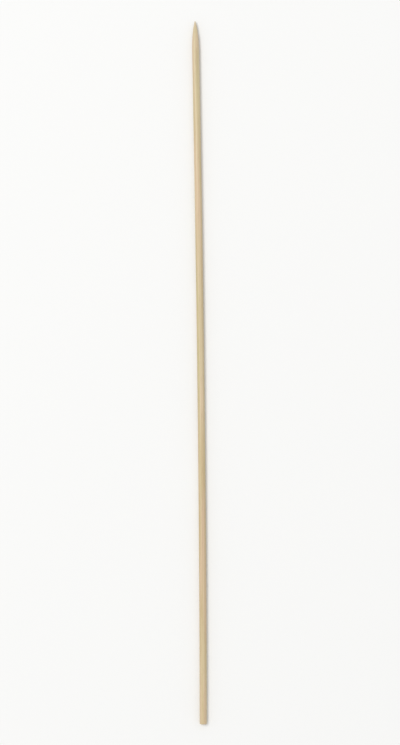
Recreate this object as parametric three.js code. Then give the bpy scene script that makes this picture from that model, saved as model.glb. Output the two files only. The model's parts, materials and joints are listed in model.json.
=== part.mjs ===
// A bamboo skewer: one round rod, pointed at one end and sawn square at the other.
// It lies on Z = 0 with its length along Y and its point towards +Y.
// All sizes are in millimetres.

import * as THREE from "three";

// Driving dimensions
const skewerLength = 300; // from the sawn end to the tip
const rodDiameter = 3; // the size of the round hole that the rod was drawn through
const rodFlattening = 0.06; // how much wider than high the drawn rod came out
const pointLength = 13; // the ground part, from the tip to where the full rod begins
const coneLength = 5.4; // from the tip to where its straight cone would meet the rod's side
const tipRadius = 0.2; // the tip is rounded, not needle sharp
const sawnEdgeChamfer = 0.12; // the rim of the sawn end is broken by tumbling
const bowNearSawnEnd = 1.05; // sideways pull on the centre line a third of the way up
const bowNearPoint = 0.8; // the same pull two thirds of the way up

// Fineness of the faces
const sidesRound = 32;
const shankStep = 72;
const pointRings = 14;
const tipRings = 3;

const rodRadius = rodDiameter / 2;
const shankTop = skewerLength - pointLength;

// The profile is half of the rod's outline, as (radius, height above the sawn end).

// The straight rod, from the middle of the sawn end, round its broken rim, up to the point.
function shankProfile() {
  const steps = Math.ceil((shankTop - sawnEdgeChamfer) / shankStep);
  const profile = [
    new THREE.Vector2(0, 0),
    new THREE.Vector2(rodRadius - sawnEdgeChamfer, 0),
  ];
  for (let step = 0; step < steps; step += 1) {
    const height = THREE.MathUtils.lerp(sawnEdgeChamfer, shankTop, step / steps);
    profile.push(new THREE.Vector2(rodRadius, height));
  }
  return profile;
}

// The ground point swells out of the tip's cone and runs into the rod's side without an edge.
// The cone is the line from its corner on the rod's side that touches the round of the tip.
function pointProfile() {
  const roundHeight = skewerLength - tipRadius;
  const cornerHeight = skewerLength - coneLength;
  const toRound = new THREE.Vector2(rodRadius, roundHeight - cornerHeight);
  const coneAngle =
    Math.atan2(toRound.x, toRound.y) - Math.asin(tipRadius / toRound.length());
  const swell = new THREE.QuadraticBezierCurve(
    new THREE.Vector2(rodRadius, shankTop),
    new THREE.Vector2(rodRadius, cornerHeight),
    new THREE.Vector2(
      tipRadius * Math.cos(coneAngle),
      roundHeight + tipRadius * Math.sin(coneAngle),
    ),
  );
  const profile = swell.getPoints(pointRings);
  for (let ring = 1; ring < tipRings; ring += 1) {
    const angle = THREE.MathUtils.lerp(coneAngle, Math.PI / 2, ring / tipRings);
    profile.push(
      new THREE.Vector2(
        tipRadius * Math.cos(angle),
        roundHeight + tipRadius * Math.sin(angle),
      ),
    );
  }
  profile.push(new THREE.Vector2(0, skewerLength));
  return profile;
}

// The rod is turned about Y, starting half a side round, so that a flat side is underneath.
function straightRod() {
  const profile = [...shankProfile(), ...pointProfile()];
  return new THREE.LatheGeometry(profile, sidesRound, Math.PI / sidesRound);
}

// Drawing leaves the rod slightly oval, lying on its broader side.
function flatten(geometry) {
  const half = rodFlattening / 2 / rodDiameter;
  geometry.scale(1 + half, 1, 1 - half);
}

// Bamboo springs a little out of line as it dries, so the centre line is a shallow curve in X.
// Each slice slides sideways without turning, which keeps the sawn end square to Y.
function bow(geometry) {
  const centreLine = new THREE.CubicBezierCurve(
    new THREE.Vector2(0, 0),
    new THREE.Vector2(bowNearSawnEnd, skewerLength / 3),
    new THREE.Vector2(bowNearPoint, (skewerLength * 2) / 3),
    new THREE.Vector2(0, skewerLength),
  );
  const place = geometry.getAttribute("position");
  for (let i = 0; i < place.count; i += 1) {
    const along = place.getY(i) / skewerLength;
    place.setX(i, place.getX(i) + centreLine.getPoint(along).x);
  }
}

// The origin is on the surface that the rod lies on, under the middle of its length and width.
function layDown(geometry) {
  geometry.computeBoundingBox();
  const middle = geometry.boundingBox.getCenter(new THREE.Vector3());
  geometry.translate(-middle.x, -middle.y, -geometry.boundingBox.min.z);
}

const rod = straightRod();
flatten(rod);
bow(rod);
layDown(rod);

const bamboo = new THREE.MeshStandardMaterial({
  color: 0xd6c39f,
  roughness: 0.62,
  metalness: 0,
});

const skewer = new THREE.Mesh(rod, bamboo);
skewer.name = "skewer";

const part = new THREE.Group();
part.add(skewer);

export default part;
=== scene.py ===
# A bamboo skewer lying on a pale floor, seen from straight above.
# The rod is modelled straight, about the Y axis from its sawn end to its tip, and then bowed
# and laid on the floor. Sizes are in metres.

import json
import math
import random

import bmesh
import bpy
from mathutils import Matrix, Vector, noise


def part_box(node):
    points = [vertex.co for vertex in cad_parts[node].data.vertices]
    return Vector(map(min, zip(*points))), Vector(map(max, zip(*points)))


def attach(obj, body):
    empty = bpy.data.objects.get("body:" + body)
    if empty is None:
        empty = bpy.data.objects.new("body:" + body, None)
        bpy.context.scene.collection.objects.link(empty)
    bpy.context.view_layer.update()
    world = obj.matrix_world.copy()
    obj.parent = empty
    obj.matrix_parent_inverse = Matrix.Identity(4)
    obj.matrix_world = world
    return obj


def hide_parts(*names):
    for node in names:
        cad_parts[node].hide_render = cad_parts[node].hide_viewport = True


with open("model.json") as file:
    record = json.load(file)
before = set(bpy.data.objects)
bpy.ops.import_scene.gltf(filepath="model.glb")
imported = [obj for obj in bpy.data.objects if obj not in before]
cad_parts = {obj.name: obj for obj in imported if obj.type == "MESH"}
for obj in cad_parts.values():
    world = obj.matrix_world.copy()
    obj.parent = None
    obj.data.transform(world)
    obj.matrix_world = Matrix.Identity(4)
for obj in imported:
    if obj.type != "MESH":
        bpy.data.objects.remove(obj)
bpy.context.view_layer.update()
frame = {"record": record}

MM = 0.001

# The rod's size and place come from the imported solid, which has flat sides.
solid_low, solid_high = (Vector(corner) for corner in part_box("skewer"))
solid_sides = 32
sawn_end = Vector(frame["record"]["mounts"][0]["pos_m"])
rod_length = solid_high.y - solid_low.y
rod_height = (solid_high.z - solid_low.z) / math.cos(math.pi / solid_sides)
rod_flattening = 0.06 * MM
rod_diameter = rod_height + rod_flattening / 2
rod_radius = rod_diameter / 2

# The point, the sawn edge and the bow repeat the solid's own sizes.
point_length = 13 * MM
cone_length = 5.4 * MM
tip_radius = 0.2 * MM
sawn_edge_chamfer = 0.12 * MM
bow_near_sawn_end = 1.05 * MM
bow_near_point = 0.8 * MM
shank_top = rod_length - point_length

# How finely the rod is divided
sides_round = 160
sawn_face_rings = 44
rim_support = 0.025 * MM
shank_rings = 400
point_rings = 64
tip_rings = 6
merge_distance = 0.0005 * MM

# Bamboo's fibre bundles, as seen in a cut across the rod. Each wanders along the rod on a path of
# its own through the noise, one step beyond the last bundle's, and they are placed slice by slice.
skin_direction = Vector((-0.75, 0.0, -0.66))
bundle_reach = 1.08 * rod_radius
bundle_draws = 3000
bundle_seed = 11
bundle_spacing_at_skin = 0.2 * MM
bundle_spacing_at_hollow = 0.44 * MM
bundle_radius_at_skin = 0.06 * MM
bundle_radius_at_hollow = 0.095 * MM
least_bundle_darkness = 0.45
bundle_wander = 0.07 * MM
bundle_wander_length = 45 * MM
bundle_wander_step = 1.7
bundle_wander_seed = 4
slice_height = 0.1 * MM

# Fine marks along the rod: a furrow where a fibre tore out, a ridge where one lifted
torn_fibres = 70
torn_fibre_seed = 5
torn_fibre_width = (0.06 * MM, 0.14 * MM)
torn_fibre_length = (6 * MM, 55 * MM)
torn_fibre_depth = (-0.025 * MM, 0.05 * MM)

# Relief of the drawn side: fibre bundles, finer fibres, and the slow waves that the die leaves
bundle_relief = 0.012 * MM
fibre_relief = 0.008 * MM
fibre_width = 0.16 * MM
fibre_length = 14 * MM
drawn_relief = 0.02 * MM
drawn_fineness = 1.6
drawn_length = 38 * MM

# Relief of the ground point: the grinder's rings, and what is left of the fibres
grind_relief = 0.007 * MM
grind_fineness = 0.8
grind_pitch = 0.22 * MM
grind_keeps = 0.4
grind_fade = 2 * MM

# Relief of the sawn face: fine parallel saw marks, bundles left proud, crumbs and a ragged rim.
# An offset says where in the noise a pattern is taken from.
saw_angle = math.radians(37)
saw_mark_width = 0.13 * MM
saw_mark_length = 2.4 * MM
saw_mark_relief = 0.03 * MM
sawn_bundle_relief = 0.03 * MM
crumb_size = 0.12 * MM
crumb_relief = 0.03 * MM
crumb_offset = 7.0
ragged_relief = 0.07 * MM
ragged_fineness = 9.0
ragged_offset = 3.0
ragged_closeness_to_rim = 8

# The surface is also laid out flat, on a map from 0 to 1 each way that its colour can be baked on.
# The rod's side is one tall sheet with extra height for the point, and the sawn face
# is a disc beside it.
map_name = "OFBake"
map_side_width = (0.01, 0.77)
map_side_height = (0.01, 0.99)
map_point_start = 0.8
map_face_centre = Vector((0.885, 0.885))
map_face_radius = 0.1


# Camera. The lens and the sensor are in millimetres.

photo_lean = math.radians(0.67)
camera_lens = 100.0
camera_sensor = 36.0
view_height = 0.318


def make_camera():
    """Looks straight down, with the point up the picture and leaning as in the photograph."""
    data = bpy.data.cameras.new("camera")
    data.lens = camera_lens
    data.sensor_width = camera_sensor
    camera = bpy.data.objects.new("camera", data)
    bpy.context.scene.collection.objects.link(camera)
    middle = (solid_low + solid_high) / 2
    distance = view_height * camera_lens / camera_sensor
    camera.location = (middle.x, middle.y, middle.z + distance)
    camera.rotation_euler = (0.0, 0.0, -photo_lean)
    bpy.context.scene.camera = camera


# The plain rod


def profile_corners():
    """Half of the rod's outline, as (radius, height above the sawn end)."""
    face_radius = rod_radius - sawn_edge_chamfer
    sawn = [
        Vector((0.0, 0.0)),
        Vector((face_radius - rim_support, 0.0)),
        Vector((face_radius, 0.0)),
        Vector((rod_radius, sawn_edge_chamfer)),
        Vector((rod_radius, sawn_edge_chamfer + rim_support)),
    ]
    round_middle = Vector((0.0, rod_length - tip_radius))
    swell_start = Vector((rod_radius, shank_top))
    swell_corner = Vector((rod_radius, rod_length - cone_length))
    to_round = round_middle - swell_corner
    cone_angle = math.atan2(-to_round.x, to_round.y) - math.asin(tip_radius / to_round.length)
    swell_end = round_middle + tip_radius * Vector((math.cos(cone_angle), math.sin(cone_angle)))
    point = []
    for ring in range(point_rings + 1):
        t = ring / point_rings
        first = swell_start.lerp(swell_corner, t)
        second = swell_corner.lerp(swell_end, t)
        point.append(first.lerp(second, t))
    for ring in range(1, tip_rings):
        angle = cone_angle + (math.pi / 2 - cone_angle) * ring / tip_rings
        point.append(round_middle + tip_radius * Vector((math.cos(angle), math.sin(angle))))
    point.append(Vector((0.0, rod_length)))
    return sawn, point


def turn_rod(bm):
    """Turns the outline about Y into the plain straight rod."""
    sawn, point = profile_corners()
    corners = [bm.verts.new((at.x, at.y, 0.0)) for at in sawn + point]
    edges = [bm.edges.new(pair) for pair in zip(corners, corners[1:])]
    sawn_face = edges[0]
    shank = edges[len(sawn) - 1]
    bmesh.ops.subdivide_edges(bm, edges=[sawn_face], cuts=sawn_face_rings)
    bmesh.ops.subdivide_edges(bm, edges=[shank], cuts=shank_rings)
    bmesh.ops.spin(
        bm, geom=bm.verts[:] + bm.edges[:], cent=(0, 0, 0), axis=(0, 1, 0), dvec=(0, 0, 0),
        angle=math.tau, steps=sides_round, use_merge=True, use_duplicate=False,
    )
    bmesh.ops.remove_doubles(bm, verts=bm.verts, dist=merge_distance)
    bmesh.ops.recalc_face_normals(bm, faces=bm.faces)


# Fibre bundles


def draw_bundles():
    """Each is (place, radius, darkness). They crowd towards the stalk's skin."""
    # Blender's vector noise, which bundles_at reads, follows the clock unless it has a seed.
    noise.seed_set(bundle_wander_seed)
    dice = random.Random(bundle_seed)
    bundles = []
    for _ in range(bundle_draws):
        x = dice.uniform(-bundle_reach, bundle_reach)
        z = dice.uniform(-bundle_reach, bundle_reach)
        at = Vector((x, 0.0, z))
        near_skin = (1 + at.dot(skin_direction) / bundle_reach) / 2
        spacing = bundle_spacing_at_hollow + near_skin * (
            bundle_spacing_at_skin - bundle_spacing_at_hollow)
        radius = bundle_radius_at_hollow + near_skin * (
            bundle_radius_at_skin - bundle_radius_at_hollow)
        clear = all((at - other).length > spacing for other, _, _ in bundles)
        if at.length < bundle_reach and clear:
            bundles.append((at, radius, dice.uniform(least_bundle_darkness, 1.0)))
    return bundles


def bundles_at(height, bundles):
    """Where the bundles lie in one slice: each wanders a little along the rod."""
    along = height / bundle_wander_length
    moved = []
    for number, (at, radius, darkness) in enumerate(bundles):
        own_path = bundle_wander_step * number
        shift = noise.noise_vector((along, own_path, 0.0)) * bundle_wander
        moved.append((at.x + shift.x, at.z + shift.z, radius, darkness))
    return moved


def bundle_share(place, slice_bundles):
    """Up to 1 in the middle of a dark fibre bundle, and 0 in the soft tissue between them."""
    nearest = math.inf
    share = 0.0
    for x, z, radius, darkness in slice_bundles:
        across = ((place.x - x) ** 2 + (place.z - z) ** 2) / radius ** 2
        if across < nearest:
            nearest = across
            share = darkness * math.exp(-across)
    return share


# Torn and lifted fibres


def draw_torn_fibres():
    """Each is (angle round the rod, height of its lower end, length, width, depth)."""
    dice = random.Random(torn_fibre_seed)
    torn = []
    for _ in range(torn_fibres):
        length = dice.uniform(*torn_fibre_length)
        angle = dice.uniform(0, math.tau)
        start = dice.uniform(-length / 2, shank_top)
        width = dice.uniform(*torn_fibre_width)
        depth = dice.uniform(*torn_fibre_depth)
        torn.append((angle, start, length, width, depth))
    return torn


def torn_at(height, torn):
    """The torn fibres that cross one slice: their angle, their width and their depth there."""
    crossing = []
    for angle, start, length, width, depth in torn:
        along = (height - start) / length
        if 0 < along < 1:
            crossing.append((angle, width, depth * math.sqrt(math.sin(math.pi * along))))
    return crossing


def torn_depth(place, slice_torn):
    """How deep the surface is cut at place, or how far it is raised where this is negative."""
    angle = math.atan2(place.z, place.x)
    total = 0.0
    for at, width, depth in slice_torn:
        across = math.remainder(angle - at, math.tau) * rod_radius / width
        total += depth * math.exp(-across ** 2)
    return total


# Relief


def grain_noise(place, width, length):
    """Noise through the whole rod, drawn out along it."""
    return noise.noise(Vector((place.x / width, place.y / length, place.z / width)))


def noise_round_rod(outward, fineness, along):
    """Noise that only changes round the rod and along it. A greater fineness has more waves."""
    return noise.noise(Vector((outward.x * fineness, along, outward.z * fineness)))


def side_relief(place, outward, bundle, cut, ground):
    """How far the rod's side stands out from the plain turned rod."""
    fibres = bundle * bundle_relief + grain_noise(place, fibre_width, fibre_length) * fibre_relief
    drawn = noise_round_rod(outward, drawn_fineness, place.y / drawn_length) * drawn_relief
    rings = noise_round_rod(outward, grind_fineness, place.y / grind_pitch) * grind_relief
    ground_finish = rings + fibres * grind_keeps
    return drawn + (1 - ground) * (fibres - cut) + ground * ground_finish


def face_relief(place, outward, bundle, share_of_radius):
    """How far the sawn face stands out from a flat cut."""
    across = place.x * math.cos(saw_angle) + place.z * math.sin(saw_angle)
    along = place.z * math.cos(saw_angle) - place.x * math.sin(saw_angle)
    saw = noise.noise(Vector((across / saw_mark_width, 0.0, along / saw_mark_length)))
    crumbs = noise.noise(Vector((place.x / crumb_size, crumb_offset, place.z / crumb_size)))
    ragged = noise_round_rod(outward, ragged_fineness, ragged_offset)
    ragged *= share_of_radius ** ragged_closeness_to_rim
    return (bundle * sawn_bundle_relief - saw * saw_mark_relief
            - abs(crumbs) * crumb_relief + ragged * ragged_relief)


def roughen(place, bundle, cut, sawn, ground):
    """How the surface departs from the plain turned rod: a move for the point at place."""
    outward = Vector((place.x, 0.0, place.z))
    share_of_radius = min(1.0, outward.length / rod_radius)
    outward.normalize()
    side = side_relief(place, outward, bundle, cut, ground) * share_of_radius
    face = face_relief(place, outward, bundle, share_of_radius)
    return outward * side * (1 - sawn) + Vector((0.0, -face * sawn, 0.0))


def bow(place):
    """The centre line's sideways shift, at the height of place."""
    t = place.y / rod_length
    pull = (1 - t) * bow_near_sawn_end + t * bow_near_point
    return 3 * t * (1 - t) * pull


# The finished piece


def lay_out(bm, place_layer):
    """Gives each face its place on the flat map. The side's seam runs along the underside."""
    flat = bm.loops.layers.uv.new(map_name)
    left, right = map_side_width
    bottom, top = map_side_height
    for face in bm.faces:
        corners = [loop.vert[place_layer] * MM for loop in face.loops]
        middle = sum(corners, Vector()) / len(corners)
        facing = math.atan2(middle.x, middle.z)
        for loop, place in zip(face.loops, corners):
            if middle.y < sawn_edge_chamfer:
                from_centre = Vector((place.x, place.z)) / rod_radius * map_face_radius
                loop[flat].uv = map_face_centre + from_centre
                continue
            turn = facing
            if math.hypot(place.x, place.z) > 0:
                turn += math.remainder(math.atan2(place.x, place.z) - facing, math.tau)
            if place.y < shank_top:
                height = place.y / shank_top * map_point_start
            else:
                up_point = (place.y - shank_top) / point_length
                height = map_point_start + up_point * (1 - map_point_start)
            loop[flat].uv = (left + (right - left) * (turn / math.tau + 0.5),
                             bottom + (top - bottom) * height)


def make_skewer():
    bm = bmesh.new()
    turn_rod(bm)
    place_layer = bm.verts.layers.float_vector.new("grain_place")
    bundle_layer = bm.verts.layers.float.new("bundle")
    torn_layer = bm.verts.layers.float.new("torn")
    sawn_layer = bm.verts.layers.float.new("sawn")
    ground_layer = bm.verts.layers.float.new("ground")
    bundles = draw_bundles()
    torn = draw_torn_fibres()
    slices = {}
    half_flattening = rod_flattening / 2 / rod_diameter
    for vert in bm.verts:
        place = vert.co.copy()
        number = round(place.y / slice_height)
        if number not in slices:
            height = number * slice_height
            slices[number] = (bundles_at(height, bundles), torn_at(height, torn))
        slice_bundles, slice_torn = slices[number]
        bundle = bundle_share(place, slice_bundles)
        cut = torn_depth(place, slice_torn)
        sawn = max(0.0, 1 - place.y / sawn_edge_chamfer)
        ground = min(1.0, max(0.0, (place.y - shank_top) / grind_fade))
        vert[place_layer] = place / MM
        vert[bundle_layer] = bundle
        vert[torn_layer] = cut / MM * (1 - sawn) * (1 - ground)
        vert[sawn_layer] = sawn
        vert[ground_layer] = ground
        vert.co += roughen(place, bundle, cut, sawn, ground)
        vert.co.x = vert.co.x * (1 + half_flattening) + bow(place)
        vert.co.z = vert.co.z * (1 - half_flattening)
    lay_out(bm, place_layer)
    lowest = min(vert.co.z for vert in bm.verts)
    bmesh.ops.translate(bm, verts=bm.verts, vec=(sawn_end.x, sawn_end.y, -lowest))
    mesh = bpy.data.meshes.new("bamboo_skewer")
    bm.to_mesh(mesh)
    bm.free()
    for face in mesh.polygons:
        face.use_smooth = True
    piece = bpy.data.objects.new("bamboo_skewer", mesh)
    bpy.context.scene.collection.objects.link(piece)
    return piece


# Materials

# Bamboo's colours, with painted shade in the torn furrows and a painted highlight on lifted fibres
pale_tissue = (0.60, 0.49, 0.295, 1.0)
skin_tissue = (0.525, 0.41, 0.228, 1.0)
tan_patch = (0.515, 0.385, 0.205, 1.0)
green_streak = (0.485, 0.455, 0.21, 1.0)
pink_streak = (0.64, 0.45, 0.315, 1.0)
pale_streak = (0.72, 0.625, 0.43, 1.0)
light_fibre = (0.68, 0.58, 0.385, 1.0)
bundle_brown = (0.38, 0.26, 0.13, 1.0)
dark_hairline = (0.26, 0.165, 0.075, 1.0)
# Painted shade: the furrows where fibres tore out are darkened more where they are cut deeper.
furrow_painted_shade = (0.34, 0.235, 0.12, 1.0)
# Lifted fibres are paler, and they also carry a painted highlight that grows with how far they
# stand up.
pale_fibre_and_highlight = (0.74, 0.64, 0.47, 1.0)
ground_tissue = (0.62, 0.49, 0.335, 1.0)
sawn_tissue = (0.56, 0.45, 0.28, 1.0)
sawn_bundle = (0.24, 0.15, 0.07, 1.0)

# The skin's colour comes in between these two distances from the rod's middle, in millimetres.
skin_blend = (-1.2, 1.5)

# Soft stripes of colour along the rod: the colour, its width and length in millimetres, its
# noise's own offset, the noise at which it starts and at which it is full, and its full share
soft_stripes = (
    (tan_patch, 2.6, 70.0, 0.0, 0.35, 0.65, 0.9),
    (green_streak, 1.1, 110.0, 5.0, 0.48, 0.66, 0.75),
    (pink_streak, 1.5, 50.0, 23.0, 0.48, 0.66, 0.7),
    (pale_streak, 0.8, 80.0, 31.0, 0.5, 0.68, 0.5),
)

# Fine fibres and dark hairlines: their width and length in millimetres, their noise's detail and
# offset, and the noise at which they start and at which they are full
fine_fibre_noise = (0.11, 9.0, 3.0, 9.0)
fine_fibre_range = (0.32, 0.68)
hairline_noise = (0.06, 5.0, 1.0, 14.0)
hairline_range = (0.66, 0.74)

# The shares of a fibre bundle between which the sawn face turns dark
bundle_end_range = (0.15, 0.6)

# Roughness between the fine fibres, on them, and on the sawn face
dull_roughness = 0.66
smooth_roughness = 0.5
sawn_roughness = 0.85
bamboo_specular = 0.4

# The finest relief, how strongly the light shows it, and a hairline's depth as a share of it
fine_relief = 0.012 * MM
fine_relief_strength = 0.6
hairline_depth = 0.66


def add_node(tree, kind, inputs=(), **settings):
    """Adds a node, sets it, and fills its inputs with values or with other nodes' outputs."""
    made = tree.nodes.new(kind)
    for name, value in settings.items():
        setattr(made, name, value)
    for key, value in dict(inputs).items():
        if isinstance(value, bpy.types.NodeSocket):
            tree.links.new(value, made.inputs[key])
        else:
            made.inputs[key].default_value = value
    return made


def read_attribute(tree, name, output="Fac"):
    return add_node(tree, "ShaderNodeAttribute", attribute_name=name).outputs[output]


def streaks(tree, place, width, length, detail, offset):
    """Noise drawn out along the rod. Width and length are in millimetres."""
    mapped = add_node(tree, "ShaderNodeMapping", {
        "Vector": place,
        "Location": (offset, offset, offset),
        "Scale": (1 / width, 1 / length, 1 / width),
    })
    made = add_node(tree, "ShaderNodeTexNoise", {
        "Vector": mapped.outputs["Vector"], "Scale": 1.0, "Detail": detail, "Roughness": 0.55,
    })
    return made.outputs["Fac"]


def spread(tree, value, low, high, to_low=0.0, to_high=1.0):
    """Maps low to high onto to_low to to_high, and no further."""
    made = add_node(tree, "ShaderNodeMapRange", {
        "Value": value, "From Min": low, "From Max": high, "To Min": to_low, "To Max": to_high,
    })
    return made.outputs["Result"]


def calculate(tree, operation, first, second):
    made = add_node(tree, "ShaderNodeMath", {0: first, 1: second}, operation=operation)
    return made.outputs["Value"]


def tint(tree, under, over, share):
    """Lays one colour over another by share."""
    made = add_node(tree, "ShaderNodeMix", data_type="RGBA")
    for key, value in (("Factor", share), ("A", under), ("B", over)):
        socket = next(s for s in made.inputs if s.name == key and s.enabled)
        if isinstance(value, bpy.types.NodeSocket):
            tree.links.new(value, socket)
        else:
            socket.default_value = value
    return next(s for s in made.outputs if s.enabled)


def make_bamboo():
    """Pale, dry, unfinished bamboo. Its grain runs through the whole rod, along Y."""
    material = bpy.data.materials.new("bamboo")
    material.use_nodes = True
    tree = material.node_tree
    shader = tree.nodes["Principled BSDF"]
    place = read_attribute(tree, "grain_place", "Vector")
    bundle = read_attribute(tree, "bundle")
    torn = read_attribute(tree, "torn")
    sawn = read_attribute(tree, "sawn")
    ground = read_attribute(tree, "ground")

    across = add_node(tree, "ShaderNodeVectorMath", {0: place, 1: tuple(skin_direction)},
                      operation="DOT_PRODUCT").outputs["Value"]
    towards_skin = spread(tree, across, *skin_blend)
    fine = spread(tree, streaks(tree, place, *fine_fibre_noise), *fine_fibre_range)
    hairlines = spread(tree, streaks(tree, place, *hairline_noise), *hairline_range)
    bundle_ends = calculate(tree, "MULTIPLY", spread(tree, bundle, *bundle_end_range), sawn)
    # Shares of painted shade in the torn furrows and of painted highlight on lifted fibres, by how
    # deep or high the surface is there
    ridge_highlight_share, furrow_shade_share = (spread(tree, torn, 0.0, depth / MM) for depth in torn_fibre_depth)

    colour = tint(tree, pale_tissue, skin_tissue, towards_skin)
    for over, width, length, offset, start, full, full_share in soft_stripes:
        stripes = streaks(tree, place, width, length, 1.0, offset)
        colour = tint(tree, colour, over, spread(tree, stripes, start, full, 0.0, full_share))
    for over, amount, full_share in (
        (light_fibre, fine, 0.4),
        (bundle_brown, bundle, 0.45),
        (dark_hairline, hairlines, 0.55),
        # painted shade in the torn furrows
        (furrow_painted_shade, furrow_shade_share, 0.55),
        # paler lifted fibres with a painted highlight on them
        (pale_fibre_and_highlight, ridge_highlight_share, 0.5),
        (ground_tissue, ground, 0.35),
        (sawn_tissue, sawn, 0.4),
        (sawn_bundle, bundle_ends, 0.75),
    ):
        colour = tint(tree, colour, over, calculate(tree, "MULTIPLY", amount, full_share))
    tree.links.new(colour, shader.inputs["Base Color"])

    drawn_finish = spread(tree, fine, 0.0, 1.0, dull_roughness, smooth_roughness)
    sawn_finish = calculate(tree, "MULTIPLY", sawn, sawn_roughness)
    roughness = calculate(tree, "MAXIMUM", drawn_finish, sawn_finish)
    tree.links.new(roughness, shader.inputs["Roughness"])
    shader.inputs["Specular IOR Level"].default_value = bamboo_specular

    hollows = calculate(tree, "MULTIPLY", hairlines, hairline_depth)
    relief = calculate(tree, "SUBTRACT", fine, hollows)
    bump = add_node(tree, "ShaderNodeBump", {
        "Height": relief, "Strength": fine_relief_strength, "Distance": fine_relief,
    })
    tree.links.new(bump.outputs["Normal"], shader.inputs["Normal"])
    return material


# Floor and light

floor_size = 60.0
floor_paint = (0.86, 0.86, 0.85, 1.0)
floor_roughness = 0.8
floor_specular = 0.1
lamp_place = Vector((-1.2, 0.8, 3.0))
lamp_size = 1.5
lamp_power = 52.0
sky_white = (1.0, 1.0, 1.0, 1.0)
sky_strength = 0.7


def make_floor():
    bm = bmesh.new()
    bmesh.ops.create_grid(bm, x_segments=1, y_segments=1, size=floor_size / 2)
    mesh = bpy.data.meshes.new("floor")
    bm.to_mesh(mesh)
    bm.free()
    floor = bpy.data.objects.new("floor", mesh)
    bpy.context.scene.collection.objects.link(floor)
    material = bpy.data.materials.new("floor_paint")
    material.use_nodes = True
    shader = material.node_tree.nodes["Principled BSDF"]
    shader.inputs["Base Color"].default_value = floor_paint
    shader.inputs["Roughness"].default_value = floor_roughness
    shader.inputs["Specular IOR Level"].default_value = floor_specular
    mesh.materials.append(material)


def make_light():
    """One broad soft lamp, up to the left, in a white room."""
    data = bpy.data.lights.new("lamp", "AREA")
    data.shape = "DISK"
    data.size = lamp_size
    data.energy = lamp_power
    lamp = bpy.data.objects.new("lamp", data)
    bpy.context.scene.collection.objects.link(lamp)
    lamp.location = lamp_place
    lamp.rotation_euler = (-lamp_place).to_track_quat("-Z", "Y").to_euler()
    room = bpy.data.worlds.new("room")
    room.use_nodes = True
    sky = room.node_tree.nodes["Background"]
    sky.inputs["Color"].default_value = sky_white
    sky.inputs["Strength"].default_value = sky_strength
    bpy.context.scene.world = room
    bpy.context.scene.view_settings.view_transform = "Standard"


make_camera()
skewer = make_skewer()
skewer.data.materials.append(make_bamboo())
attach(skewer, "root")
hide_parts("skewer")
make_floor()
make_light()
